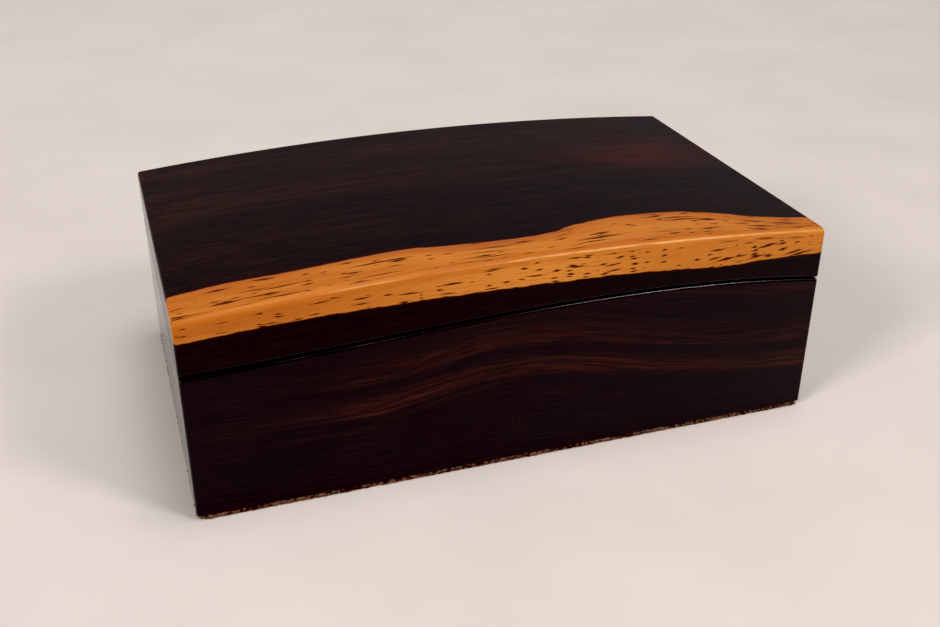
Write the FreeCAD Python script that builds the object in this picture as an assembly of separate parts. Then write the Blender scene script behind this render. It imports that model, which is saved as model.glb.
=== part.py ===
import FreeCAD, Part

import math
import os

from FreeCAD import Vector

# A small lined keepsake box: mitred walls, a bottom panel, and a thick arched lid
# that turns back on two brass butt hinges.
# Millimetres. +X runs along the front to the right, +Y to the back, +Z up.
# The origin is the centre of the footprint, on the surface that the box stands on.

# Outer size
LENGTH = 150.0
DEPTH = 90.0
TOP_END = 48.5  # height of the lid's top at its two ends
TOP_RISE = 3.5  # rise of the top's arch at mid length
RIM_END = 35.4  # height of the walls' rim at both ends
RIM_RISE = 3.4  # rise of the rim's arch at mid length
RIM_LEAN = 2.3  # carries the rim's highest point to the right of the middle
SEAM_LEFT = 0.6  # gap under the lid at the left end
SEAM_RIGHT = 0.3  # gap under the lid at the right end

# Rounded edges
CORNER_R = 0.7  # upright corners
TOP_R = 1.5  # the lid's front and back top edges
TOP_END_R = 0.8  # its top edges at the two ends
SEAM_R = 0.6  # the edges along the seam
FOOT_R = 0.5  # the walls' bottom edges
INNER_R = 0.3  # the inner edges of the rim and of the lid's recess

# Walls and bottom
WALL = 9.0
SUEDE = 1.0  # skin under the base
SUEDE_INSET = 0.4
SUEDE_CORNER_R = 2.0
PANEL = 4.0  # bottom panel's thickness, and the rabbet's height and width
PANEL_PLAY = 0.2
TONGUE_THICK = 2.0
TONGUE_WIDE = 6.0
TONGUE_LOW = 9.0
TONGUE_HIGH = 30.0
TONGUE_PLACE = 0.42  # share of the mitre's length, from its inner end

# Lining
CARD = 1.2  # suede covered card
CARD_R = 0.35
LINING_TOP = 32.0
PAD = 4.0
PAD_PLAY = 0.2
PAD_R = 1.0
RECESS_TOP = 42.0  # ceiling of the lid's recess
RECESS_R = 3.0  # its upright corners, as a router leaves them
LID_CARD_PLAY = 0.3

# Hinges
AXIS_INSET = 2.3  # from the back face to the hinge axis
AXIS_Z = 37.75
STOP_ANGLE = 48.0  # slope of the stop bevels, so that the lid stops a little past upright
HINGE_X = 45.0
HINGE_LENGTH = 20.0
KNUCKLES = 5
KNUCKLE_GAP = 0.15
BARREL_R = 1.9
PIN_R = 0.8
PIN_PLAY = 0.05
LEAF = 1.6
LEAF_GAP = 0.2  # between the two closed leaves
LEAF_WIDE = 5.4  # from the axis to the leaf's inner edge
MORTISE_PLAY = 0.25
SCREW_X = 5.5  # screws either side of the hinge's middle
SCREW_INSET = 3.6  # from the axis
SCREW_LENGTH = 6.5
SCREW_POINT = 1.4
SHANK_R = 0.7
HEAD_R = 1.3
HEAD_DEEP = 0.8
SLOT_WIDE = 0.4
SLOT_DEEP = 0.4

# Worked out from those
HALF_L = LENGTH / 2
HALF_D = DEPTH / 2
INSIDE_X = HALF_L - WALL
INSIDE_Y = HALF_D - WALL
PANEL_TOP = SUEDE + PANEL
AXIS_Y = HALF_D - AXIS_INSET
BASE, LID = -1, 1  # which side of the hinge axis a leaf is on
BEYOND = 5.0  # how far a cutting shape runs past what it cuts
CLEAR = 1.0  # the same, where there is less room
TOLERANCE = 0.01  # two lengths closer than this are the same


def slab(x0, x1, y0, y1, z0, z1):
    """A block between two corners."""
    return Part.makeBox(x1 - x0, y1 - y0, z1 - z0, Vector(x0, y0, z0))


def rod(x0, x1, radius):
    """A cylinder along the hinge axis."""
    return Part.makeCylinder(radius, x1 - x0, Vector(x0, AXIS_Y, AXIS_Z), Vector(1, 0, 0))


def prism(points, low, high):
    """An upright prism over a polygon in X and Y."""
    corners = [Vector(x, y, low) for x, y in points]
    outline = Part.makePolygon(corners + corners[:1])
    return Part.Face(outline).extrude(Vector(0, 0, high - low))


def arch(left, right, rise, lean=0.0):
    """A cubic curve along the front face, from its height at the left end to the right end."""
    third = (right - left) / 3
    heights = (
        left,
        left + third + 4 / 3 * (rise - lean),
        right - third + 4 / 3 * (rise + lean),
        right,
    )
    curve = Part.BezierCurve()
    curve.setPoles([
        Vector(HALF_L * (2 * i / 3 - 1), -HALF_D, z) for i, z in enumerate(heights)
    ])
    return curve.toShape()


def between(lower, upper):
    """The full-depth block between two edges that run along the front face."""
    low_left, low_right = (v.Point for v in (lower.firstVertex(), lower.lastVertex()))
    high_left, high_right = (v.Point for v in (upper.firstVertex(), upper.lastVertex()))
    edges = [
        lower,
        Part.LineSegment(low_right, high_right).toShape(),
        upper,
        Part.LineSegment(high_left, low_left).toShape(),
    ]
    outline = Part.Wire(Part.__sortEdges__(edges))
    return Part.Face(outline).extrude(Vector(0, DEPTH, 0))


def rounded(shape, radius_of):
    """Rounds each edge that radius_of gives a radius."""
    doc = FreeCAD.newDocument()
    block = doc.addObject("Part::Feature", "block")
    block.Shape = shape
    fillet = doc.addObject("Part::Fillet", "fillet")
    fillet.Base = block
    chosen = []
    for number, edge in enumerate(block.Shape.Edges, 1):
        radius = radius_of(edge)
        if radius:
            chosen.append((number, radius, radius))
    fillet.Edges = chosen
    doc.recompute()
    result = fillet.Shape.copy()
    FreeCAD.closeDocument(doc.Name)
    return result


def upright(edge):
    """Whether an edge runs straight up."""
    span = edge.BoundBox
    return span.XLength + span.YLength < TOLERANCE


def inside(edge):
    """Whether an edge lies within the inner faces of the walls."""
    span = edge.BoundBox
    far_x = max(abs(span.XMin), abs(span.XMax))
    far_y = max(abs(span.YMin), abs(span.YMax))
    return max(far_x - INSIDE_X, far_y - INSIDE_Y) < TOLERANCE


def rim():
    """The walls' rim, seen from the front."""
    return arch(RIM_END, RIM_END, RIM_RISE, RIM_LEAN)


def lid_edge():
    """The lid's lower edge, seen from the front."""
    return arch(RIM_END + SEAM_LEFT, RIM_END + SEAM_RIGHT, RIM_RISE, RIM_LEAN)


def stop_bevel(side):
    """What the stop bevel takes off the back edge of the walls or of the lid."""
    drop = side * math.tan(math.radians(STOP_ANGLE))
    far = AXIS_INSET + BEYOND
    corners = [
        Vector(-HALF_L - BEYOND, AXIS_Y, AXIS_Z),
        Vector(-HALF_L - BEYOND, AXIS_Y + far, AXIS_Z + far * drop),
        Vector(-HALF_L - BEYOND, AXIS_Y + far, AXIS_Z - side * BEYOND),
        Vector(-HALF_L - BEYOND, AXIS_Y, AXIS_Z - side * BEYOND),
    ]
    outline = Part.makePolygon(corners + corners[:1])
    return Part.Face(outline).extrude(Vector(LENGTH + 2 * BEYOND, 0, 0))


def screw_places(side, hinge_x):
    """Where each screw's head meets the face of its leaf."""
    face = AXIS_Z + side * LEAF_GAP / 2
    return [Vector(hinge_x + dx, AXIS_Y - SCREW_INSET, face) for dx in (-SCREW_X, SCREW_X)]


def screw_blank(place, side):
    """A countersunk screw with no slot: head, shank and point."""
    into = Vector(0, 0, side)
    head = Part.makeCone(HEAD_R, SHANK_R, HEAD_DEEP, place, into)
    shank_length = SCREW_LENGTH - SCREW_POINT - HEAD_DEEP
    shank = Part.makeCylinder(SHANK_R, shank_length, place + into * HEAD_DEEP, into)
    tip_start = place + into * (SCREW_LENGTH - SCREW_POINT)
    tip = Part.makeCone(SHANK_R, 0.0, SCREW_POINT, tip_start, into)
    return head.fuse(shank).fuse(tip).removeSplitter()


def screws(side, hinge_x):
    """The screws of one leaf."""
    made = []
    for place in screw_places(side, hinge_x):
        low, high = sorted((place.z - side * CLEAR, place.z + side * SLOT_DEEP))
        slot = slab(
            place.x - HEAD_R - CLEAR,
            place.x + HEAD_R + CLEAR,
            place.y - SLOT_WIDE / 2,
            place.y + SLOT_WIDE / 2,
            low,
            high,
        )
        made.append(screw_blank(place, side).cut(slot))
    return Part.makeCompound(made)


def leaf_room(side, hinge_x):
    """What one hinge takes out of the wood: the mortise, the barrel's groove, the screw holes."""
    half = HINGE_LENGTH / 2 + MORTISE_PLAY
    seat = AXIS_Z + side * (LEAF_GAP / 2 + LEAF)
    low, high = sorted((seat, seat - side * 2 * BEYOND))
    mortise = slab(
        hinge_x - half,
        hinge_x + half,
        AXIS_Y - LEAF_WIDE - MORTISE_PLAY,
        AXIS_Y,
        low,
        high,
    )
    groove = rod(hinge_x - half, hinge_x + half, BARREL_R + MORTISE_PLAY)
    room = mortise.fuse(groove)
    for place in screw_places(side, hinge_x):
        room = room.fuse(screw_blank(place, side))
    return room


def knuckle_spans(side, hinge_x):
    """The X spans of the knuckles on one side; the base leaf has the odd ones."""
    step = HINGE_LENGTH / KNUCKLES
    start = hinge_x - HINGE_LENGTH / 2
    first = 0 if side == BASE else 1
    return [(start + i * step, start + (i + 1) * step) for i in range(first, KNUCKLES, 2)]


def leaf(side, hinge_x):
    """A hinge leaf: plate, its own knuckles, room for the other leaf's, and countersunk holes."""
    near = AXIS_Z + side * LEAF_GAP / 2
    low, high = sorted((near, near + side * LEAF))
    x0 = hinge_x - HINGE_LENGTH / 2
    x1 = hinge_x + HINGE_LENGTH / 2
    body = slab(x0, x1, AXIS_Y - LEAF_WIDE, AXIS_Y, low, high).fuse(rod(x0, x1, BARREL_R))
    for a, b in knuckle_spans(-side, hinge_x):
        body = body.cut(rod(a - KNUCKLE_GAP / 2, b + KNUCKLE_GAP / 2, BARREL_R + KNUCKLE_GAP))
    bore = PIN_R if side == BASE else PIN_R + PIN_PLAY
    body = body.cut(rod(x0 - CLEAR, x1 + CLEAR, bore))
    for place in screw_places(side, hinge_x):
        body = body.cut(screw_blank(place, side))
    return body.removeSplitter()


def pin(hinge_x):
    """A hinge pin, flush with the barrel's ends."""
    return rod(hinge_x - HINGE_LENGTH / 2, hinge_x + HINGE_LENGTH / 2, PIN_R)


def tongues():
    """The loose tongues across the four mitres."""
    made = []
    for sx in (-1, 1):
        for sy in (-1, 1):
            centre = Vector(
                sx * (INSIDE_X + WALL * TONGUE_PLACE),
                sy * (INSIDE_Y + WALL * TONGUE_PLACE),
                0,
            )
            tongue = slab(
                -TONGUE_WIDE / 2,
                TONGUE_WIDE / 2,
                -TONGUE_THICK / 2,
                TONGUE_THICK / 2,
                TONGUE_LOW,
                TONGUE_HIGH,
            )
            tongue.rotate(Vector(0, 0, 0), Vector(0, 0, 1), -45 * sx * sy)
            tongue.translate(centre)
            made.append(tongue)
    return made


def wall_ring():
    """The four walls in one piece, before the mitres part them."""
    foot = Part.LineSegment(
        Vector(-HALF_L, -HALF_D, SUEDE), Vector(HALF_L, -HALF_D, SUEDE)
    ).toShape()

    def outer_radius(edge):
        if upright(edge):
            return CORNER_R
        return FOOT_R if edge.BoundBox.ZMax < SUEDE + TOLERANCE else SEAM_R

    def inner_radius(edge):
        return INNER_R if inside(edge) and edge.BoundBox.ZMin > PANEL_TOP else 0

    ring = rounded(between(foot, rim()), outer_radius)
    ring = ring.cut(slab(-INSIDE_X, INSIDE_X, -INSIDE_Y, INSIDE_Y, 0, TOP_END))
    ring = rounded(ring, inner_radius)
    rabbet_x = INSIDE_X + PANEL
    rabbet_y = INSIDE_Y + PANEL
    ring = ring.cut(slab(-rabbet_x, rabbet_x, -rabbet_y, rabbet_y, 0, PANEL_TOP))
    ring = ring.cut(stop_bevel(BASE))
    for hinge_x in (-HINGE_X, HINGE_X):
        ring = ring.cut(leaf_room(BASE, hinge_x))
    for tongue in tongues():
        ring = ring.cut(tongue)
    return ring


def mitred(ring, along_x, sign):
    """One wall of the ring, between its two mitres."""
    half = (HALF_L, HALF_D) if along_x else (HALF_D, HALF_L)
    past = BEYOND
    inner = WALL + CLEAR
    points = [
        (-half[0] - past, half[1] + past),
        (half[0] + past, half[1] + past),
        (half[0] - inner, half[1] - inner),
        (-half[0] + inner, half[1] - inner),
    ]
    if along_x:
        points = [(x, sign * y) for x, y in points]
    else:
        points = [(sign * y, x) for x, y in points]
    return ring.common(prism(points, 0, TOP_END))


def lid_panel():
    """The solid lid: arched, recessed underneath, bevelled at the back for its stop."""
    top = arch(TOP_END, TOP_END, TOP_RISE)

    def outer_radius(edge):
        if upright(edge):
            return CORNER_R
        if edge.BoundBox.ZMin < RECESS_TOP:
            return SEAM_R
        return TOP_R if edge.BoundBox.XLength > TOLERANCE else TOP_END_R

    def inner_radius(edge):
        return INNER_R if inside(edge) and edge.BoundBox.ZMax < RECESS_TOP - CLEAR else 0

    panel = rounded(between(lid_edge(), top), outer_radius)
    recess = slab(-INSIDE_X, INSIDE_X, -INSIDE_Y, INSIDE_Y, 0, RECESS_TOP)
    panel = panel.cut(with_round_corners(recess, RECESS_R))
    panel = rounded(panel, inner_radius)
    panel = panel.cut(stop_bevel(LID))
    for hinge_x in (-HINGE_X, HINGE_X):
        panel = panel.cut(leaf_room(LID, hinge_x))
    return panel


def with_round_corners(block, radius):
    """A block with its upright corners rounded."""
    return block.makeFillet(radius, [e for e in block.Edges if upright(e)])


def soft_card(x0, x1, y0, y1, z0, z1):
    """A suede covered card with all its edges eased."""
    card = slab(x0, x1, y0, y1, z0, z1)
    return card.makeFillet(CARD_R, card.Edges)


def linings():
    """The cards on the four inner walls: long ones first, short ones between them."""
    x = INSIDE_X
    y = INSIDE_Y
    return {
        "lining_front": soft_card(-x, x, -y, -y + CARD, PANEL_TOP, LINING_TOP),
        "lining_back": soft_card(-x, x, y - CARD, y, PANEL_TOP, LINING_TOP),
        "lining_left": soft_card(-x, -x + CARD, -y + CARD, y - CARD, PANEL_TOP, LINING_TOP),
        "lining_right": soft_card(x - CARD, x, -y + CARD, y - CARD, PANEL_TOP, LINING_TOP),
    }


def floor_pad():
    """The padded floor, between the lining cards."""
    x = INSIDE_X - CARD - PAD_PLAY
    y = INSIDE_Y - CARD - PAD_PLAY
    pad = slab(-x, x, -y, y, PANEL_TOP, PANEL_TOP + PAD)
    above = PANEL_TOP + TOLERANCE
    return pad.makeFillet(PAD_R, [e for e in pad.Edges if e.BoundBox.ZMax > above])


def lid_lining():
    """The suede covered card on the recess's ceiling."""
    x = INSIDE_X - LID_CARD_PLAY
    y = INSIDE_Y - LID_CARD_PLAY
    card = with_round_corners(slab(-x, x, -y, y, RECESS_TOP - CARD, RECESS_TOP), RECESS_R)
    return card.makeFillet(CARD_R, [e for e in card.Edges if not upright(e)])


def bottom_panel():
    """The panel in the walls' rabbet."""
    x = INSIDE_X + PANEL - PANEL_PLAY
    y = INSIDE_Y + PANEL - PANEL_PLAY
    return slab(-x, x, -y, y, SUEDE, PANEL_TOP)


def base_suede():
    """The suede under the whole base."""
    x = HALF_L - SUEDE_INSET
    y = HALF_D - SUEDE_INSET
    return with_round_corners(slab(-x, x, -y, y, 0, SUEDE), SUEDE_CORNER_R)


def hinge_parts():
    """Both hinges, with their pins and screws."""
    made = {}
    for place, hinge_x in (("left", -HINGE_X), ("right", HINGE_X)):
        made[f"base_leaf_{place}"] = leaf(BASE, hinge_x)
        made[f"lid_leaf_{place}"] = leaf(LID, hinge_x)
        made[f"hinge_pin_{place}"] = pin(hinge_x)
        made[f"base_screws_{place}"] = screws(BASE, hinge_x)
        made[f"lid_screws_{place}"] = screws(LID, hinge_x)
    return made


def box_parts():
    """Every sub-part by its node name."""
    ring = wall_ring()
    parts = {
        "front_wall": mitred(ring, True, -1),
        "back_wall": mitred(ring, True, 1),
        "left_wall": mitred(ring, False, -1),
        "right_wall": mitred(ring, False, 1),
        "corner_tongues": Part.makeCompound(tongues()),
        "bottom_panel": bottom_panel(),
        "base_suede": base_suede(),
        "floor_pad": floor_pad(),
        "lid_panel": lid_panel(),
        "lid_lining": lid_lining(),
    }
    parts.update(linings())
    parts.update(hinge_parts())
    return parts


os.makedirs("parts", exist_ok=True)
for name, shape in box_parts().items():
    solids = shape.Solids
    if len(solids) == 1:
        shape = solids[0]
    print(f"{name}: {len(solids)} solid(s), {shape.Volume:.1f} mm3, valid {shape.isValid()}")
    shape.exportStep(f"parts/{name}.step")
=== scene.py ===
import math
import random

import bpy
from mathutils import Matrix, Vector, noise


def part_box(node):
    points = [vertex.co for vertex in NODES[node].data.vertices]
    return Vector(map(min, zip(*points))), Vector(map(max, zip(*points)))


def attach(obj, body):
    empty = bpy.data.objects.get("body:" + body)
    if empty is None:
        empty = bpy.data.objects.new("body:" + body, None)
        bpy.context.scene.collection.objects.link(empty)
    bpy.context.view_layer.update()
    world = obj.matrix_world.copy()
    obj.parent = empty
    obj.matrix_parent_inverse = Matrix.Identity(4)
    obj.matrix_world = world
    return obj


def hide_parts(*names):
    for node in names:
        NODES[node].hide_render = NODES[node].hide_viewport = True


# The looks of a hinged keepsake box: dark rosewood-like walls and lid, an amber sapwood
# stripe, brass hinges, a suede lining and a suede skin under the base.

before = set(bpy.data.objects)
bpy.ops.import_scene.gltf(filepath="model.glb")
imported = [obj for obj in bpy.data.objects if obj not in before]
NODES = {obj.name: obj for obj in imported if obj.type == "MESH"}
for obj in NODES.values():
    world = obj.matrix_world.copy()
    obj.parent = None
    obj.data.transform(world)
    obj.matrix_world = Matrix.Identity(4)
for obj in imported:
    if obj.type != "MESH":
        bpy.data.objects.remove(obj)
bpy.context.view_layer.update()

MM = 0.001  # one millimetre, in the scene's metres


def span(node):
    """A CAD node's lowest and highest corners, in millimetres."""
    low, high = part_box(node)
    return low / MM, high / MM


# The box's half length and half depth and its top, in millimetres, read from the frame
_, LID_HIGH = span("lid_panel")
HALF_L = LID_HIGH.x
HALF_D = LID_HIGH.y
TOP_Z = LID_HIGH.z
# Its arches, which the frame doesn't give, with the CAD part's own numbers
TOP_RISE = 3.5  # how much lower the arched top is at its ends
RIM_END = 35.4  # height of the walls' rim at its two ends
RIM_RISE = 3.4  # how much its arch rises
RIM_LEAN = 2.3  # carries the arch's highest point to the right


# Materials are written as expressions in millimetres, which a Graph turns into nodes

class Graph:
    """A material whose calls each add one shader node and return its output."""

    def __init__(self, name):
        self.material = bpy.data.materials.new(name)
        self.material.use_nodes = True
        self.tree = self.material.node_tree
        self.shader = self.tree.nodes["Principled BSDF"]

    def put(self, kind, inputs, **settings):
        """Adds a node; inputs are numbers, colours or other nodes' outputs, by socket."""
        node = self.tree.nodes.new(kind)
        for key, value in settings.items():
            setattr(node, key, value)
        for key, value in inputs.items():
            self.feed(node.inputs[key], value)
        return node

    def feed(self, socket, value):
        """Links an output to a socket, or sets the socket to a plain value."""
        if isinstance(value, bpy.types.NodeSocket):
            self.tree.links.new(value, socket)
        elif hasattr(value, "__len__") and len(socket.default_value) == 4:
            socket.default_value = (*value, 1.0)
        else:
            socket.default_value = value

    def math(self, operation, *values):
        """One Math node."""
        inputs = dict(enumerate(values))
        return self.put("ShaderNodeMath", inputs, operation=operation).outputs[0]

    def fold(self, operation, first, *others):
        """The operation on any number of values, from left to right."""
        for other in others:
            first = self.math(operation, first, other)
        return first

    def add(self, *values):
        return self.fold("ADD", *values)

    def mul(self, *values):
        return self.fold("MULTIPLY", *values)

    def larger(self, *values):
        return self.fold("MAXIMUM", *values)

    def sub(self, a, b):
        return self.math("SUBTRACT", a, b)

    def div(self, a, b):
        return self.math("DIVIDE", a, b)

    def unless(self, share):
        """1 where share is 0, and 0 where it is 1."""
        return self.sub(1.0, share)

    def either(self, share, a, b):
        """a where share is 0, and b where it is 1."""
        return self.add(self.mul(self.unless(share), a), self.mul(share, b))

    def hypot(self, a, b):
        return self.math("SQRT", self.add(self.mul(a, a), self.mul(b, b)))

    def offset(self, value, fac, amount):
        """value, shifted by up to half of amount either way as fac goes from 0 to 1."""
        return self.math("MULTIPLY_ADD", self.sub(fac, 0.5), amount, value)

    def place(self):
        """X, Y and Z in millimetres, fixed to the piece."""
        where = self.put("ShaderNodeTexCoord", {}).outputs["Object"]
        inputs = {0: where, "Scale": 1 / MM}
        scaled = self.put("ShaderNodeVectorMath", inputs, operation="SCALE")
        return tuple(self.put("ShaderNodeSeparateXYZ", {0: scaled.outputs[0]}).outputs)

    def xyz(self, x, y, z):
        return self.put("ShaderNodeCombineXYZ", {0: x, 1: y, 2: z}).outputs[0]

    def spread(self, x, y, z, sx, sy, sz, seed=0.0):
        """A place with its three parts scaled, and moved to its own part of the noise."""
        moved = self.math("MULTIPLY_ADD", x, sx, seed)
        return self.xyz(moved, self.mul(y, sy), self.mul(z, sz))

    def noise(self, vector, detail=2.0, roughness=0.5):
        """Smooth noise round 0.5, about one unit from bump to bump."""
        inputs = {"Vector": vector, "Scale": 1.0, "Detail": detail, "Roughness": roughness}
        return self.put("ShaderNodeTexNoise", inputs).outputs["Fac"]

    def cells(self, vector):
        """Distance to the nearest of the points scattered on a plane, and its random numbers.

        The distance is X plus Y, so that a mark drawn by it has pointed ends."""
        inputs = {"Vector": vector, "Scale": 1.0}
        kind = "ShaderNodeTexVoronoi"
        node = self.put(kind, inputs, voronoi_dimensions="2D", distance="MANHATTAN")
        chance = self.put("ShaderNodeSeparateColor", {0: node.outputs["Color"]})
        return node.outputs["Distance"], chance.outputs

    def rise(self, value, start, end, low=0.0, high=1.0):
        """low up to start, high from end, smooth between; start may be above end."""
        inputs = {0: value, 1: start, 2: end, 3: low, 4: high}
        kind = "ShaderNodeMapRange"
        return self.put(kind, inputs, interpolation_type="SMOOTHSTEP").outputs[0]

    def line(self, value, start, end, low=0.0, high=1.0):
        """As rise, but straight between."""
        inputs = {0: value, 1: start, 2: end, 3: low, 4: high}
        return self.put("ShaderNodeMapRange", inputs).outputs[0]

    def apart(self, value, centre, reach):
        """How many reaches the value is from the centre; negative below it."""
        return self.div(self.sub(value, centre), reach)

    def near(self, value, centre, reach):
        """1 at centre, falling smoothly to 0 at reach to either side."""
        return self.rise(self.math("ABSOLUTE", self.sub(value, centre)), reach, 0.0)

    def mix(self, share, a, b):
        """Colour a where share is 0, and colour b where it is 1."""
        node = self.tree.nodes.new("ShaderNodeMix")
        node.data_type = "RGBA"
        # A Mix node has sockets for each kind of data; 6, 7 and output 2 are its colours
        self.feed(node.inputs[0], share)
        self.feed(node.inputs[6], a)
        self.feed(node.inputs[7], b)
        return node.outputs[2]

    def curve(self, value, points):
        """A smooth curve through (value, height) points, level beyond the first and last."""
        low, high = points[0][0], points[-1][0]
        top = max(y for _, y in points)
        node = self.put("ShaderNodeFloatCurve", {"Value": self.line(value, low, high)})
        line = node.mapping.curves[0]
        while len(line.points) < len(points):
            line.points.new(0.5, 0.5)
        for spot, (x, y) in zip(line.points, points):
            spot.location = ((x - low) / (high - low), y / top)
            spot.handle_type = "AUTO_CLAMPED"
        node.mapping.update()
        return self.mul(node.outputs[0], top)

    def bump(self, height, distance, under=None):
        """Height from 0 to 1 becomes a bump of that many millimetres."""
        inputs = {"Height": height, "Distance": distance * MM, "Strength": 1.0}
        if under is not None:
            inputs["Normal"] = under
        return self.put("ShaderNodeBump", inputs).outputs[0]

    def finish(self, colour, roughness, normal, **plain):
        """Feeds the shader. plain holds values that are the same all over."""
        self.feed(self.shader.inputs["Base Color"], colour)
        self.feed(self.shader.inputs["Roughness"], roughness)
        self.feed(self.shader.inputs["Normal"], normal)
        for key, value in plain.items():
            self.feed(self.shader.inputs[key.replace("_", " ")], value)
        return self.material


# Wood. Colours here and below are linear RGB.

WOOD_SHINE = {"Specular_IOR_Level": 0.2}
FINE_RELIEF = 0.012  # height of the fine grain's bump
PORE_TORN = 0.14  # how far a pore mark's edge is torn, as a share of its cell
TORN_ALONG, TORN_ACROSS = 1.4, 4.0  # how fine the tearing is, per millimetre
PORE_CORE = 0.6  # how much of a mark is at its darkest
PORE_LEAST = 0.002  # keeps the edge of an empty cell's mark from having no width


def grain_lines(g, along, across, deep, seed, per_mm, stretch):
    """Lines that run along the grain, about 1 / per_mm apart and stretch times as long."""
    place = g.spread(along, across, deep, per_mm / stretch, per_mm, per_mm, seed)
    return g.noise(place, detail=3.0, roughness=0.62)


def pore_marks(g, along, across, seed, length, width, share, size=0.54):
    """Scattered pore marks in cells of length by width, in that share of the cells.

    size is how large the largest marks are, as a share of their cells."""
    place = g.xyz(g.math("MULTIPLY_ADD", along, 1 / length, seed), g.div(across, width), 0.0)
    distance, chance = g.cells(place)
    torn = g.xyz(g.mul(along, TORN_ALONG), g.mul(across, TORN_ACROSS), seed)
    distance = g.math("MULTIPLY_ADD", g.noise(torn, detail=3.0), PORE_TORN, distance)
    largest = g.mul(g.math("SQRT", g.line(chance[0], g.unless(share), 1.0)), size)
    return g.rise(distance, g.add(largest, PORE_LEAST), g.mul(largest, PORE_CORE))


def oiled(g, place, fine, smoothest):
    """Roughness of oiled wood, from a slow haze and the fine grain."""
    haze = g.noise(place, detail=3.0)
    return g.add(g.line(haze, 0.3, 0.7, smoothest, smoothest + 0.06), g.mul(fine, 0.06))


SAP_AMBER = (0.52, 0.145, 0.018)
SAP_PALE = (0.78, 0.295, 0.048)
SAP_DEEP = (0.40, 0.085, 0.008)
SAP_BLUSH = (0.38, 0.085, 0.032)
# The colour of the painted highlight along the lid's rounded front edge
SAP_PAINTED_HIGHLIGHT = (0.95, 0.56, 0.20)
MARK_TOP = (0.085, 0.009, 0.0015)
MARK_FRONT = (0.070, 0.004, 0.001)
HEART_BLACK = (0.0035, 0.0029, 0.0035)
HEART_BROWN = (0.030, 0.0105, 0.0065)
HEART_RED = (0.062, 0.011, 0.008)
HEART_EDGE = (0.020, 0.003, 0.001)
HEART_RUBBED = (0.060, 0.042, 0.036)

# Width of the sapwood on the lid's top, from the front, along the length
SAP_ON_TOP = [
    (-75, 12.0), (-62, 12.7), (-49, 12.1), (-28, 13.0), (-12, 11.2), (2, 10.2), (18, 13.8),
    (32, 15.7), (42, 15.4), (53, 12.6), (62, 9.1), (75, 7.0),
]
# Its depth down the lid's front, from the top
SAP_ON_FRONT = [
    (-75, 4.7), (-45, 5.4), (-20, 6.3), (5, 6.8), (30, 7.2), (48, 7.8), (58, 7.1), (75, 6.1),
]
SAP_WIDTH = 12.5  # typical width on the top
SAP_DEPTH = 6.5  # typical depth on the front
SAP_BLEND = 0.10  # the boundary is this soft to either side
FRONT_FACE = (0.8, 2.4)  # the top passes into the front between these depths
PALE_FRONT = (2.0, 60.0)  # centre and reach of the paler middle of the front
WIDE_BLUSH = (-6.0, 26.0)  # centre and reach of the stretch with the widest reddish edge
# A painted highlight line runs this far below the top, where the front edge is rounded
CREASE_DOWN = 0.55
# How strong that line is, along the length
CREASE = [
    (-75, 0.0), (-48, 0.05), (-35, 0.65), (-25, 0.15), (-8, 0.25), (3, 0.80), (30, 0.95),
    (58, 0.6), (75, 0.3),
]
# How far the grain of the front face climbs, compared with the arch
CLIMB = [(-75, 0.0), (8, 0.0), (28, 1.0), (50, 3.6), (75, 7.2)]
# The share of the cells that hold a dash, and a dot. On the top the dashes' share rises
# between two places along the length, and the front has a curve for each.
TOP_DASHES = (22.0, 44.0, 0.28, 0.74)
TOP_DOTS = 0.14
FRONT_DASHES = [(-75, 0.30), (33, 0.30), (41, 0.04), (46, 0.95), (58, 0.95), (75, 0.70)]
FRONT_DOTS = [
    (-75, 0.14), (-18, 0.20), (4, 0.52), (32, 0.58), (41, 0.04), (47, 0.50), (75, 0.20),
]
LID_SMOOTHEST = 0.13
TOP_SATIN = 0.17  # how much rougher the lid's top is than its sides
EDGE_HANDLED = 0.28  # how much rougher its front top edge is
# Two areas of the top's heartwood, each with its centre and reach along X and along Y
RED_X, RED_Y = (55.0, 26.0), (11.0, 15.0)
RUBS_X, RUBS_Y = (-18.0, 55.0), (-15.0, 12.0)


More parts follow.
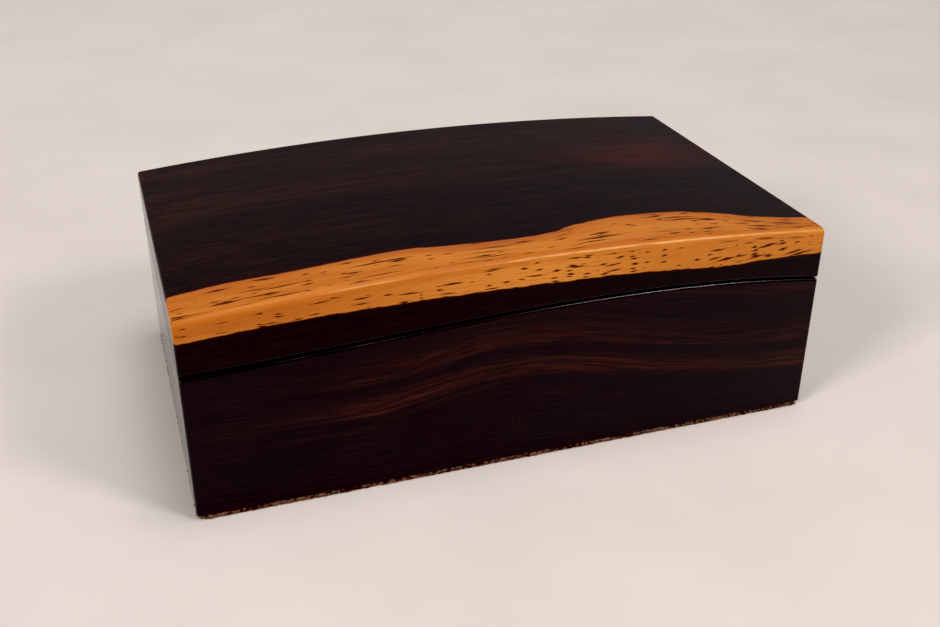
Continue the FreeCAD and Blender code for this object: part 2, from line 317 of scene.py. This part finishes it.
def lid_wood():
    """Near-black heartwood, with an amber sapwood stripe along the front top edge."""
    g = Graph("lid_wood")
    x, y, z = g.place()
    top = g.math("MULTIPLY_ADD", g.mul(x, x), -TOP_RISE / HALF_L**2, TOP_Z)
    back = g.add(y, HALF_D)
    down = g.sub(top, z)
    wide = g.curve(x, SAP_ON_TOP)
    deep = g.curve(x, SAP_ON_FRONT)

    # Distance into the sapwood from its sloping boundary
    part = g.add(g.div(back, wide), g.div(down, deep))
    inward = g.mul(g.unless(part), g.div(g.mul(wide, deep), g.hypot(wide, deep)))
    ragged = g.noise(g.spread(x, y, z, 0.30, 1.5, 1.5), detail=4.0, roughness=0.6)
    inward = g.offset(inward, ragged, g.rise(down, 1.0, 3.0, 0.35, 0.8))
    is_sap = g.rise(inward, -SAP_BLEND, SAP_BLEND)

    # Position across the grain, unrolled over the front edge, following the stripe
    roll = g.sub(g.div(g.mul(back, SAP_WIDTH), wide), g.div(g.mul(down, SAP_DEPTH), deep))
    wander = g.noise(g.spread(x, roll, z, 0.09, 0.25, 0.0))
    roll = g.offset(roll, wander, 1.4)
    turn = g.mul(g.add(back, down), 0.5)
    sap = sap_colour(g, x, roll, turn, back, down, inward)
    bend = g.mul(g.sub(wide, SAP_WIDTH), g.rise(back, 8.0, 60.0, 1.0, 0.15))
    heart = lid_heart_colour(g, x, y, z, g.sub(y, bend), inward)
    colour = g.mix(is_sap, heart, sap)

    fine = grain_lines(g, x, roll, turn, seed=4.0, per_mm=3.5, stretch=22.0)
    satin = g.rise(down, 1.2, 0.3, 0.0, TOP_SATIN)
    handled = g.rise(g.hypot(back, down), 1.9, 1.2, 0.0, EDGE_HANDLED)
    roughness = oiled(g, g.spread(x, y, z, 0.05, 0.5, 0.5), fine, LID_SMOOTHEST)
    roughness = g.add(roughness, g.larger(satin, handled))
    coarse = grain_lines(g, x, roll, turn, seed=6.0, per_mm=1.3, stretch=30.0)
    relief = g.bump(coarse, 0.014, g.bump(fine, FINE_RELIEF))
    return g.finish(colour, roughness, relief, **WOOD_SHINE)


def sap_colour(g, x, roll, turn, back, down, inward):
    """Amber sapwood: paler stretches, a reddish boundary, a painted highlight along the front
    edge and pore marks.
    """
    in_front = g.rise(down, *FRONT_FACE)
    broad = g.noise(g.spread(x, roll, turn, 0.02, 0.22, 0.22), detail=2.0)
    fibre = grain_lines(g, x, roll, turn, seed=7.0, per_mm=2.4, stretch=24.0)
    pale = g.mul(g.near(x, *PALE_FRONT), in_front, 0.8)
    pale = g.larger(pale, g.rise(broad, 0.40, 0.66, 0.0, 0.45))
    colour = g.mix(pale, SAP_AMBER, SAP_PALE)
    colour = g.mix(g.rise(fibre, 0.50, 0.74, 0.0, 0.55), colour, SAP_DEEP)
    reach = g.math("MULTIPLY_ADD", g.near(x, *WIDE_BLUSH), 2.0, 0.7)
    blush = g.mul(g.rise(inward, reach, 0.0, 0.0, 0.55), g.rise(down, 2.0, 1.0))
    colour = g.mix(blush, colour, SAP_BLUSH)
    # A painted highlight along the rounded front edge, uneven along the length
    uneven = g.noise(g.spread(x, roll, 0.0, 0.16, 0.0, 0.0, 6.0), detail=3.0)
    edge = g.mul(g.near(down, g.offset(CREASE_DOWN, uneven, 0.4), 0.30), g.rise(back, 0.9, 0.4))
    edge = g.mul(edge, g.mul(g.curve(x, CREASE), g.rise(uneven, 0.35, 0.55, 0.3, 0.70)))
    colour = g.mix(edge, colour, SAP_PAINTED_HIGHLIGHT)
    marks = sap_marks(g, x, roll, turn, back, down)
    return g.mix(marks, colour, g.mix(in_front, MARK_TOP, MARK_FRONT))


def sap_marks(g, x, roll, turn, back, down):
    """The sapwood's pore marks: streaks on the top only, and dashes and dots on both faces."""
    face = g.rise(down, 1.2, 1.3)
    roll = g.sub(roll, g.mul(g.curve(x, CLIMB), face))
    jag = g.noise(g.spread(x, roll, turn, 0.45, 1.2, 0.0), detail=3.0)
    across = g.offset(roll, jag, 0.30)
    squeeze = g.rise(down, *FRONT_FACE, 0.55, 1.0)
    streaks = pore_marks(g, x, roll, 6.1, length=24.0, width=0.95, share=0.55, size=0.50)
    streaks = g.mul(streaks, g.unless(face))
    share = g.either(face, g.rise(x, *TOP_DASHES), g.curve(x, FRONT_DASHES))
    squeezed = g.mul(across, squeeze)
    dashes = pore_marks(g, x, squeezed, 9.7, length=9.5, width=0.90, share=share)
    share = g.either(face, TOP_DOTS, g.curve(x, FRONT_DOTS))
    dots = pore_marks(g, x, across, 5.1, length=3.8, width=0.80, share=share)
    marks = g.larger(streaks, dashes, dots)
    at_ends = g.rise(g.math("ABSOLUTE", x), HALF_L - 0.7, HALF_L - 0.1)
    on_arris = g.rise(g.hypot(back, down), 1.5, 1.1)
    return g.mul(marks, g.unless(at_ends), g.unless(on_arris), 0.97)


def lid_heart_colour(g, x, y, z, across, inward):
    """Black heartwood with faint lengthwise brown streaks and a redder patch at the right."""
    broad = g.noise(g.spread(x, across, z, 0.012, 0.09, 0.09, 4.0), detail=3.0)
    lines = grain_lines(g, x, across, z, seed=1.0, per_mm=0.9, stretch=40.0)
    fine = grain_lines(g, x, across, z, seed=2.0, per_mm=3.0, stretch=30.0)
    # The brown is stronger towards the back left
    to_back = g.rise(g.math("MULTIPLY_ADD", x, -0.4, y), -35.0, 45.0, 0.2, 1.0)
    brown = g.mul(g.rise(broad, 0.34, 0.62, 0.25, 1.0), g.rise(lines, 0.40, 0.60, 0.15, 1.1))
    brown = g.add(g.mul(brown, to_back, 0.68), g.rise(fine, 0.44, 0.62, 0.0, 0.42))
    brown = g.mul(brown, g.rise(y, -HALF_D + 0.1, -HALF_D + 1.5, 0.4, 1.0))
    colour = g.mix(brown, HEART_BLACK, HEART_BROWN)
    from_red = g.hypot(g.apart(x, *RED_X), g.apart(y, *RED_Y))
    red = g.mul(g.rise(from_red, 1.2, 0.1), g.rise(lines, 0.25, 0.65))
    colour = g.mix(g.mul(red, 0.8), colour, HEART_RED)
    rubs_and_highlight = g.mul(g.near(y, *RUBS_Y), g.near(x, *RUBS_X))
    rubs = pore_marks(g, x, across, 2.6, length=40.0, width=1.1, share=0.55, size=0.40)
    colour = g.mix(g.mul(rubs, rubs_and_highlight, 0.3), colour, HEART_RUBBED)
    return g.mix(g.mul(g.near(inward, -0.2, 0.5), 0.8), colour, HEART_EDGE)


WALL_DARK = (0.0070, 0.0053, 0.0066)
WALL_STREAK = (0.060, 0.0150, 0.0095)
PORE_BLACK = (0.0042, 0.0034, 0.0042)
# The colour of a painted highlight along the rim's outer edge
ARRIS_PAINTED_HIGHLIGHT = (0.50, 0.48, 0.47)

# Along the board that all four walls are cut from, the height of one growth layer.
# The front wall is the stretch from -75 to 75, and the back wall lies beyond 165.
LAYER = [
    (-165, 11.0), (-120, 9.5), (-75, 11.9), (-56, 11.2), (-38, 10.8), (-26, 12.1), (-15, 13.9),
    (-4, 14.9), (6, 14.3), (16, 12.9), (26, 10.9), (38, 8.5), (52, 6.3), (75, 3.9), (120, 3.0),
    (165, 6.5), (205, 10.5), (240, 12.5), (275, 9.0), (315, 10.0),
]
LAYER_AT = 12.0  # the heights in BANDS are for a place where the layer is this high
# How strong the brown streaks are, up through the growth layers
BANDS = [
    (0, 0.05), (12, 0.06), (17.6, 0.08), (19.4, 0.10), (20.3, 0.85), (21.6, 1.0), (23.4, 0.75),
    (25.0, 0.30), (26.2, 0.08), (27.4, 0.10), (28.4, 0.65), (29.6, 0.55), (31.6, 0.38),
    (34.0, 0.22), (37.0, 0.12), (40.4, 0.12), (41.6, 0.45), (43.2, 0.12),
]
# Height of a thin brown streak below the main band, on the left half of the front
LOWER_STREAK = [(-75, 17.8), (-57, 15.8), (-40, 15.9), (-26, 18.6), (-12, 21.0), (0, 22.6)]
LOWER_HALF_WIDTH = 0.9
# How strong all the streaks are, along the board
STREAK_SHARE = [
    (-165, 0.8), (-110, 0.7), (-75, 0.18), (-48, 0.35), (-28, 0.95), (-5, 1.0), (14, 1.0),
    (30, 0.75), (50, 0.58), (66, 0.72), (75, 0.85), (315, 0.8),
]
# How strong the painted highlight along the rim's outer edge is, along the board
RIM_HIGHLIGHT = [
    (-75, 0.03), (-60, 0.0), (-52, 0.12), (-43, 0.03), (-35, 0.14), (-26, 0.04), (-12, 0.05),
    (2, 0.22), (20, 0.75), (38, 0.60), (55, 0.35), (75, 0.12),
]
# A small feathered figure low on the front: its centre and reach along the board and in Z
FEATHER_ALONG, FEATHER_Z = (-1.0, 4.0), (9.5, 7.0)


def rim_edge(g, x, y, z):
    """1 on a thin line along the rim's outer edge."""
    u = g.div(x, HALF_L)
    arch = g.mul(g.sub(1.0, g.mul(u, u)), g.math("MULTIPLY_ADD", u, RIM_LEAN, RIM_RISE))
    below = g.sub(g.add(arch, RIM_END), z)
    sides = [g.sub(half, g.math("ABSOLUTE", at)) for half, at in ((HALF_L, x), (HALF_D, y))]
    inward = g.math("MINIMUM", *sides)
    return g.rise(g.hypot(below, inward), 0.30, 0.20)


def wall_wood(name, along, across, smoothest):
    """Dark purple-brown heartwood, cut from one board whose streaks run round the box.

    along holds an axis, the sign that the board runs in and where on the board x or y is 0.
    across is the axis through the wall, and smoothest is its least roughness."""
    g = Graph(name)
    place = g.place()
    axis, sign, start = along
    along = g.math("MULTIPLY_ADD", place[axis], sign, start)
    deep = place[across]
    z = place[2]
    slow = g.noise(g.spread(along, z, deep, 0.016, 0.03, 0.03, 2.5), detail=2.0)
    sway = g.noise(g.spread(along, z, deep, 0.06, 0.12, 0.12, 8.5), detail=2.0)

    # Height up through the growth layers, which wander a little
    height = g.sub(z, g.sub(g.curve(along, LAYER), LAYER_AT))
    height = g.offset(height, slow, 1.2)
    height = g.offset(height, sway, 0.9)

    lines = grain_lines(g, along, height, deep, seed=1.0, per_mm=1.1, stretch=45.0)
    fine = grain_lines(g, along, height, deep, seed=6.0, per_mm=3.4, stretch=50.0)
    strong = strong_streaks(g, along, z, height, lines, fine)
    faint = faint_streaks(g, along, z, deep, lines, fine, sway)
    dark = g.mix(g.rise(fine, 0.25, 0.6), PORE_BLACK, WALL_DARK)
    colour = g.mix(g.larger(strong, faint), dark, WALL_STREAK)
    pores = pore_marks(g, along, height, 2.2, length=11.0, width=0.8, share=0.5, size=0.36)
    colour = g.mix(g.mul(pores, 0.7), colour, PORE_BLACK)
    # A painted highlight along the rim's outer edge, patchy along the board
    patchy = g.rise(sway, 0.3, 0.5, 0.5, 1.0)
    rubs_and_highlight = g.mul(rim_edge(g, *place), g.curve(along, RIM_HIGHLIGHT), patchy)
    colour = g.mix(rubs_and_highlight, colour, ARRIS_PAINTED_HIGHLIGHT)
    roughness = oiled(g, g.spread(along, z, deep, 0.04, 0.4, 0.4), fine, smoothest)
    relief = g.bump(lines, 0.022, g.bump(fine, FINE_RELIEF))
    return g.finish(colour, roughness, relief, **WOOD_SHINE)


def strong_streaks(g, along, z, height, lines, fine):
    """The walls' brown bands, which rise and fall with the growth layers."""
    streak = g.mul(g.rise(lines, 0.38, 0.60, 0.35, 1.0), g.rise(fine, 0.44, 0.60, 0.30, 1.2))
    below = g.near(z, g.curve(along, LOWER_STREAK), LOWER_HALF_WIDTH)
    below = g.mul(below, g.rise(along, 2.0, -14.0), 0.7)
    band = g.mul(g.larger(g.curve(height, BANDS), below), g.curve(along, STREAK_SHARE))
    return g.mul(band, streak)


def faint_streaks(g, along, z, deep, lines, fine, sway):
    """Faint brown lines all over the walls, and a small feathered figure on the front."""
    faint = g.mul(g.rise(lines, 0.40, 0.66, 0.35, 1.0), g.rise(fine, 0.46, 0.62, 0.0, 0.15))
    faint = g.mul(faint, g.rise(sway, 0.38, 0.62, 0.2, 1.0))
    feather = g.noise(g.spread(along, z, deep, 1.6, 0.3, 0.3, 5.0), detail=3.0)
    feather = g.mul(g.near(along, *FEATHER_ALONG), g.rise(feather, 0.5, 0.7, 0.0, 0.2))
    return g.larger(faint, g.mul(feather, g.near(z, *FEATHER_Z)))


CORNER_TO_CORNER = HALF_L + HALF_D  # along the board, from one wall's middle to the next
# How each wall is cut from the board: wall_wood's along, across and smoothest
WALLS = {
    "front_wall": ((0, 1, 0.0), 1, 0.12),
    "right_wall": ((1, 1, CORNER_TO_CORNER), 0, 0.05),
    "back_wall": ((0, -1, 2 * CORNER_TO_CORNER), 1, 0.12),
    "left_wall": ((1, -1, -CORNER_TO_CORNER), 0, 0.05),
}

PLY_PALE = (0.52, 0.34, 0.18)
PLY_DARK = (0.30, 0.17, 0.075)
PLY_MIDDLE = (3.0, 0.7)  # height and half thickness of the bottom panel's middle veneer


def plywood():
    """Birch plywood: three veneers, the middle one across the others."""
    g = Graph("birch_ply")
    x, y, z = g.place()
    lines = grain_lines(g, x, y, z, seed=3.0, per_mm=1.4, stretch=22.0)
    cross = grain_lines(g, y, x, z, seed=5.0, per_mm=1.4, stretch=22.0)
    middle = g.near(z, *PLY_MIDDLE)
    grain = g.add(g.mul(lines, g.unless(middle)), g.mul(cross, middle))
    colour = g.mix(g.rise(grain, 0.35, 0.7), PLY_PALE, PLY_DARK)
    return g.finish(colour, g.line(grain, 0.3, 0.7, 0.5, 0.65), g.bump(grain, 0.03))


# Brass

BRASS_BRIGHT = (0.83, 0.60, 0.27)
BRASS_DULL = (0.46, 0.29, 0.10)
BRUSH_ACROSS, BRUSH_ALONG = 4.0, 0.25  # how fine the brush marks are, per millimetre


def brass(name, along, smoothest):
    """Brushed brass with dull patches. along is the axis that the brush marks run in."""
    g = Graph(name)
    place = g.place()
    stretch = [BRUSH_ACROSS] * 3
    stretch[along] = BRUSH_ALONG
    marks = g.noise(g.spread(*place, *stretch), detail=4.0, roughness=0.7)
    patches = g.noise(g.spread(*place, 0.35, 0.35, 0.35), detail=4.0)
    dull = g.rise(patches, 0.42, 0.72)
    colour = g.mix(g.mul(dull, 0.7), BRASS_BRIGHT, BRASS_DULL)
    brushed = g.line(marks, 0.3, 0.7, smoothest, smoothest + 0.16)
    roughness = g.add(brushed, g.mul(dull, 0.14))
    return g.finish(colour, roughness, g.bump(marks, 0.006), Metallic=1.0)


# Suede

SUEDE_BROWN = (0.135, 0.042, 0.022)
SUEDE_DARK = (0.045, 0.014, 0.009)
SUEDE_TAN = (0.36, 0.20, 0.13)
SUEDE_PIT = (0.020, 0.006, 0.004)


def suede(name, tan_share, lightness, specks=0.0):
    """Brushed hide: fine nap, patches stroked light and dark, and paler bits of fibre.

    specks is how strong the small dark pits in it are."""
    g = Graph(name)
    x, y, z = g.place()
    strokes = g.noise(g.spread(x, y, z, 0.10, 0.05, 0.10), detail=3.0, roughness=0.6)
    nap = g.noise(g.spread(x, y, z, 3.2, 2.4, 2.8), detail=4.0, roughness=0.75)
    bits = g.noise(g.spread(x, y, z, 1.4, 1.4, 1.6, 7.0), detail=3.0, roughness=0.7)
    light = tuple(c * lightness for c in SUEDE_BROWN)
    deep = tuple(c * lightness for c in SUEDE_DARK)
    shade = g.add(g.rise(strokes, 0.36, 0.64, 0.0, 0.38), g.rise(nap, 0.38, 0.62, 0.0, 0.62))
    colour = g.mix(shade, deep, light)
    colour = g.mix(g.rise(bits, 0.62 - tan_share, 0.70, 0.0, 0.8), colour, SUEDE_TAN)
    pits = g.noise(g.spread(x, y, z, 1.3, 1.3, 1.6, 3.0), detail=2.0)
    patchy = g.noise(g.spread(x, y, z, 0.13, 0.13, 0.0, 5.0), detail=2.0)
    pits = g.rise(g.offset(pits, patchy, 0.5), 0.46, 0.55, 0.0, specks)
    colour = g.mix(pits, colour, SUEDE_PIT)
    return g.finish(
        colour,
        g.line(nap, 0.3, 0.7, 0.85, 0.98),
        g.bump(nap, 0.16, g.bump(strokes, 0.20)),
        Specular_IOR_Level=0.15,
        Sheen_Weight=0.35,
        Sheen_Roughness=0.45,
        Sheen_Tint=(0.75, 0.42, 0.28),
    )


# Pieces made here

def mesh_piece(name, points, faces, body, material):
    """A smooth mesh, from points in millimetres, that rides on a body."""
    mesh = bpy.data.meshes.new(name)
    mesh.from_pydata([Vector(p) * MM for p in points], [], faces)
    mesh.validate()
    mesh.shade_smooth()
    mesh.materials.append(material)
    piece = bpy.data.objects.new(name, mesh)
    bpy.context.scene.collection.objects.link(piece)
    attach(piece, body)
    return piece


def outline(half_x, half_y, radius, step):
    """Points and outward directions round a rectangle with rounded corners."""
    route = []
    inner = Vector((half_x - radius, half_y - radius))
    corners = [(1, -1, -90), (1, 1, 0), (-1, 1, 90), (-1, -1, 180)]
    centres = [Vector((sx * inner.x, sy * inner.y)) for sx, sy, _ in corners]
    turns = max(4, round(radius * math.pi / 2 / step))
    for index, (_, _, start) in enumerate(corners):
        for turn in range(turns + 1):
            angle = math.radians(start + 90 * turn / turns)
            out = Vector((math.cos(angle), math.sin(angle)))
            route.append((centres[index] + out * radius, out))
        here, out = route[-1]
        there = centres[(index + 1) % 4] + out * radius
        pieces = round((there - here).length / step)
        for part in range(1, pieces):
            route.append((here.lerp(there, part / pieces), out))
    return route


SUEDE_STEP = 0.3
SUEDE_CORNER_R = 2.0
# The cut edge, from the walls down: share of the thickness, and how far it stands out
EDGE_PROFILE = [(1.0, 0.08), (0.85, 0.24), (0.6, 0.30), (0.35, 0.28), (0.12, 0.20), (0.0, 0.04)]
EDGE_RAGGED = 0.34
EDGE_WAVES = [(0.9, 1.0), (2.6, 0.8)]  # how fine and how strong the raggedness is
EDGE_LAYERS = 2.0  # how much it changes through the thickness
FACE_INSET = 3.0  # the flat faces start this far in from the edge


def base_suede(material):
    """The suede skin under the base, with a ragged cut edge."""
    low, high = span("base_suede")
    thickness = high.z - low.z
    route = outline(high.x, high.y, SUEDE_CORNER_R, SUEDE_STEP)
    count = len(route)
    flat_top = (1.0, -FACE_INSET)
    flat_bottom = (0.0, -FACE_INSET)
    points = []
    for share, proud in [flat_top, *EDGE_PROFILE, flat_bottom]:
        ragged = 0.0 if proud == -FACE_INSET else EDGE_RAGGED
        for spot, out in route:
            at = Vector((spot.x, spot.y, share * EDGE_LAYERS))
            uneven = sum(strength * noise.noise(at * fine) for fine, strength in EDGE_WAVES)
            flat = spot + out * (proud + ragged * uneven)
            points.append((flat.x, flat.y, low.z + share * thickness))
    faces = [tuple(range(count))]
    levels = len(points) // count
    for level in range(levels - 1):
        for i in range(count):
            j = (i + 1) % count
            upper = level * count
            lower = upper + count
            faces.append((upper + j, upper + i, lower + i, lower + j))
    faces.append(tuple(reversed(range((levels - 1) * count, levels * count))))
    piece = mesh_piece("base_suede_skin", points, faces, "base", material)
    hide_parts("base_suede")
    return piece


FUZZ_SEED = 7
FUZZ_PER_MM = 11
FUZZ_SHARE = 0.62  # how many of the places along the edge hold a fibre or a crumb
FUZZ_CLUMPS = 0.6  # how much that varies along the edge
CLUMPS_PER_MM = 0.35
CRUMB_SHARE = 0.35
CRUMB_LENGTH, CRUMB_WIDTH = (0.25, 0.6), (0.12, 0.28)
FIBRE_LENGTH, FIBRE_WIDTH = (0.2, 0.7), (0.03, 0.06)
STRAY_SHARE = 0.003  # a few are longer
STRAY_LENGTH = (0.8, 1.2)
FUZZ_SLANT = 0.9  # how far they may lean along the edge
FUZZ_HEIGHTS = (0.15, 0.9)  # where they start, as shares of the thickness
FUZZ_SIDES = 3
FUZZ_JOINTS = 3


def base_fuzz(material):
    """Loose fibres and crumbs of nap along the cut edge of the base suede."""
    draw = random.Random(FUZZ_SEED)
    low, high = span("base_suede")
    thickness = high.z - low.z
    points, faces = [], []
    for spot, out in outline(high.x, high.y, SUEDE_CORNER_R, 1 / FUZZ_PER_MM):
        clump = noise.noise(Vector((spot.x, spot.y, 0.0)) * CLUMPS_PER_MM)
        if draw.random() > FUZZ_SHARE + FUZZ_CLUMPS * clump:
            continue
        crumb = draw.random() < CRUMB_SHARE
        length = draw.uniform(*(CRUMB_LENGTH if crumb else FIBRE_LENGTH))
        if draw.random() < STRAY_SHARE:
            length = draw.uniform(*STRAY_LENGTH)
        width = draw.uniform(*(CRUMB_WIDTH if crumb else FIBRE_WIDTH))
        side = Vector((-out.y, out.x))
        heading = (out + side * draw.uniform(-FUZZ_SLANT, FUZZ_SLANT)).normalized()
        start = Vector((spot.x, spot.y, low.z + thickness * draw.uniform(*FUZZ_HEIGHTS)))
        fibre(points, faces, start, heading, length, width, draw)
    piece = mesh_piece("base_suede_fuzz", points, faces, "base", material)
    return piece


FIBRE_LIFT = (-0.4, 0.5)  # how steeply it starts
FIBRE_DROOP = 0.5  # how far the tip sinks, as a share of the length
FIBRE_KINK = 0.08
FIBRE_TAPER = 0.85


def fibre(points, faces, start, heading, length, width, draw):
    """Adds one tapered, drooping fibre to a mesh."""
    base = len(points)
    lift = draw.uniform(*FIBRE_LIFT)
    ahead = Vector((heading.x, heading.y, 0.0))
    side = Vector((-heading.y, heading.x, 0.0))
    up = Vector((0.0, 0.0, 1.0))
    for joint in range(FUZZ_JOINTS + 1):
        share = joint / FUZZ_JOINTS
        rise = lift * share - FIBRE_DROOP * share**2
        centre = start + length * (ahead * share + up * rise)
        centre += side * draw.uniform(-FIBRE_KINK, FIBRE_KINK) * length
        centre.z = max(centre.z, width)
        thin = width * (1.0 - FIBRE_TAPER * share)
        for corner in range(FUZZ_SIDES):
            angle = 2 * math.pi * corner / FUZZ_SIDES
            points.append(centre + (side * math.cos(angle) + up * math.sin(angle)) * thin)
    for joint in range(FUZZ_JOINTS):
        ring = base + joint * FUZZ_SIDES
        for corner in range(FUZZ_SIDES):
            following = (corner + 1) % FUZZ_SIDES
            a, b = ring + corner, ring + following
            faces.append((a, b, b + FUZZ_SIDES, a + FUZZ_SIDES))
    faces.append(tuple(reversed(range(base, base + FUZZ_SIDES))))
    faces.append(tuple(range(len(points) - FUZZ_SIDES, len(points))))


PAD_STEP = 1.0
PAD_ROLL = 2.6  # how far in from the side the top rolls over
PAD_CROWN = 0.9  # how much higher the middle is
PAD_PULL = 0.35  # how far the sides pull in at the corners
PAD_STRAIGHT = 0.45  # share of the height below which the sides stand straight
PAD_PUCKER, PUCKERS_PER_MM = 0.22, 0.45  # along the sides
PAD_DENTS, DENTS_PER_MM = 0.10, 0.06  # all over


def pad_point(u, v, half, floor_z, height):
    """A point of the pad's top, for u and v from -1 to 1 across it."""
    x = half.x * u - PAD_PULL * u * v**2
    y = half.y * v - PAD_PULL * v * u**2
    roll = 1.0
    for reach in (half.x * (1 - abs(u)), half.y * (1 - abs(v))):
        roll *= math.sqrt(1 - (1 - min(1.0, reach / PAD_ROLL)) ** 2)
    crown = PAD_CROWN * (1 - u**4) * (1 - v**4)
    pucker = PAD_PUCKER * noise.noise(Vector((x * PUCKERS_PER_MM, y * PUCKERS_PER_MM, 3.0)))
    pucker *= max(abs(u), abs(v)) ** 8
    dents = PAD_DENTS * noise.noise(Vector((x * DENTS_PER_MM, y * DENTS_PER_MM, 9.0)))
    rolled = ((1 - PAD_STRAIGHT) * height + crown + dents + pucker) * roll
    return (x, y, floor_z + (PAD_STRAIGHT * height + rolled))


def floor_pad(material):
    """The padded suede floor: crowned, with rolled and puckered sides."""
    low, high = span("floor_pad")
    half = Vector((high.x, high.y))
    cols = round(2 * half.x / PAD_STEP)
    rows = round(2 * half.y / PAD_STEP)
    points = []
    for row in range(rows + 1):
        for col in range(cols + 1):
            u = 2 * col / cols - 1
            v = 2 * row / rows - 1
            points.append(pad_point(u, v, half, low.z, high.z - low.z))
    below = len(points)
    points += [(x, y, low.z) for x, y, _ in points]
    faces = []
    for row in range(rows):
        for col in range(cols):
            a = row * (cols + 1) + col
            b = a + cols + 1
            faces.append((a, a + 1, b + 1, b))
            faces.append((a + below, b + below, b + 1 + below, a + 1 + below))
    rim = list(range(cols + 1))
    rim += [row * (cols + 1) + cols for row in range(1, rows + 1)]
    rim += [rows * (cols + 1) + col for col in range(cols - 1, -1, -1)]
    rim += [row * (cols + 1) for row in range(rows - 1, 0, -1)]
    for index, a in enumerate(rim):
        b = rim[(index + 1) % len(rim)]
        faces.append((a, a + below, b + below, b))
    piece = mesh_piece("floor_pad_suede", points, faces, "base", material)
    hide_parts("floor_pad")


# The camera, lights and floor

CAMERA_PLACE = Vector((-82.0, -250.2, 154.6))
CAMERA_YAW = 0.3249  # radians to the right of +Y
CAMERA_PITCH = 0.4845  # radians down
CAMERA_ROLL = 0.0019
CAMERA_LENS = 43.56  # millimetres
CAMERA_NEAREST = 0.005  # metres
FLOOR_HALF = 4.0  # metres
FLOOR_NEAR = (0.765, 0.700, 0.662)
FLOOR_FAR = (0.96, 0.885, 0.835)
FLOOR_FADE = (40.0, 600.0)  # the floor's colour passes from near to far between these Ys
LIGHT_COLOUR = (1.0, 0.97, 0.94)
# Each light's name, its place and size in metres, and its power in watts
LIGHTS = [
    ("light_right", (0.75, -0.85, 0.95), 0.30, 6.0),
    ("light_left", (-1.05, -0.55, 0.75), 0.35, 8.5),
    ("light_above", (0.1, -0.1, 1.2), 0.5, 5.4),
]
WORLD_COLOUR = (0.93, 0.90, 0.885)
WORLD_STRENGTH = 0.25
BLACK_LEVEL = (0.0135, 0.0145, 0.013)  # a camera's deep blacks


def place_camera():
    """A camera where the photograph was taken from."""
    data = bpy.data.cameras.new("camera")
    data.lens = CAMERA_LENS
    data.clip_start = CAMERA_NEAREST
    camera = bpy.data.objects.new("camera", data)
    turn = Matrix.Rotation(-CAMERA_YAW, 4, "Z")
    tip = Matrix.Rotation(math.pi / 2 - CAMERA_PITCH, 4, "X")
    roll = Matrix.Rotation(CAMERA_ROLL, 4, "Z")
    camera.matrix_world = Matrix.Translation(CAMERA_PLACE * MM) @ turn @ tip @ roll
    bpy.context.scene.collection.objects.link(camera)
    bpy.context.scene.camera = camera


def floor():
    """A plain pale floor."""
    signs = [(-1, -1), (1, -1), (1, 1), (-1, 1)]
    corners = [(sx * FLOOR_HALF, sy * FLOOR_HALF, 0.0) for sx, sy in signs]
    mesh = bpy.data.meshes.new("floor")
    mesh.from_pydata(corners, [], [(0, 1, 2, 3)])
    ground = bpy.data.objects.new("floor", mesh)
    bpy.context.scene.collection.objects.link(ground)
    g = Graph("floor_paper")
    x, y, z = g.place()
    mottle = g.noise(g.spread(x, y, z, 0.02, 0.02, 0.0), detail=4.0)
    fibres = g.noise(g.spread(x, y, z, 1.5, 1.5, 0.0), detail=3.0)
    away = g.rise(y, *FLOOR_FADE)
    colour = g.mix(g.add(away, g.line(mottle, 0.3, 0.7, 0.0, 0.3)), FLOOR_NEAR, FLOOR_FAR)
    mesh.materials.append(g.finish(colour, 0.75, g.bump(fibres, 0.03), Specular_IOR_Level=0.2))


def soft_light(name, place, size, power):
    """A square soft light that faces the object."""
    data = bpy.data.lights.new(name, "AREA")
    data.size = size
    data.energy = power
    data.color = LIGHT_COLOUR
    light = bpy.data.objects.new(name, data)
    light.location = Vector(place)
    light.rotation_euler = (-light.location).to_track_quat("-Z", "Y").to_euler()
    light.visible_camera = False
    bpy.context.scene.collection.objects.link(light)


def light_scene():
    """A dim even sky, the soft lights, and the black level of the camera."""
    world = bpy.data.worlds.new("world")
    bpy.context.scene.world = world
    world.use_nodes = True
    sky = world.node_tree.nodes["Background"]
    sky.inputs["Color"].default_value = (*WORLD_COLOUR, 1.0)
    sky.inputs["Strength"].default_value = WORLD_STRENGTH
    for light in LIGHTS:
        soft_light(*light)
    view = bpy.context.scene.view_settings
    view.view_transform = "Standard"
    view.use_curve_mapping = True
    view.curve_mapping.black_level = BLACK_LEVEL


def give(node, material):
    """Puts a material on a CAD node."""
    surface = NODES[node].data
    surface.materials.clear()
    surface.materials.append(material)


def dress_cad_nodes(lining):
    """Gives the CAD nodes that stay their materials."""
    give("lid_panel", lid_wood())
    for wall, cut in WALLS.items():
        give(wall, wall_wood("wood_" + wall, *cut))
    ply = plywood()
    give("bottom_panel", ply)
    give("corner_tongues", ply)
    for side in ("front", "back", "left", "right"):
        give("lining_" + side, lining)
    give("lid_lining", lining)
    leaves = brass("brass_leaf", along=0, smoothest=0.26)
    pins = brass("brass_pin", along=0, smoothest=0.18)
    screws = brass("brass_screw", along=1, smoothest=0.20)
    for side in ("left", "right"):
        give("hinge_pin_" + side, pins)
        for part in ("base", "lid"):
            give(f"{part}_leaf_{side}", leaves)
            give(f"{part}_screws_{side}", screws)


def add_soft_pieces(lining, hide):
    """Puts the suede skin with its fuzz and the floor pad where their plain solids are."""
    skin = base_suede(hide)
    fuzz = base_fuzz(hide)
    floor_pad(lining)


place_camera()
floor()
light_scene()
lining_suede = suede("lining_suede", tan_share=0.02, lightness=1.3)
dress_cad_nodes(lining_suede)
base_hide = suede("base_suede", tan_share=0.27, lightness=1.3, specks=0.95)
add_soft_pieces(lining_suede, base_hide)
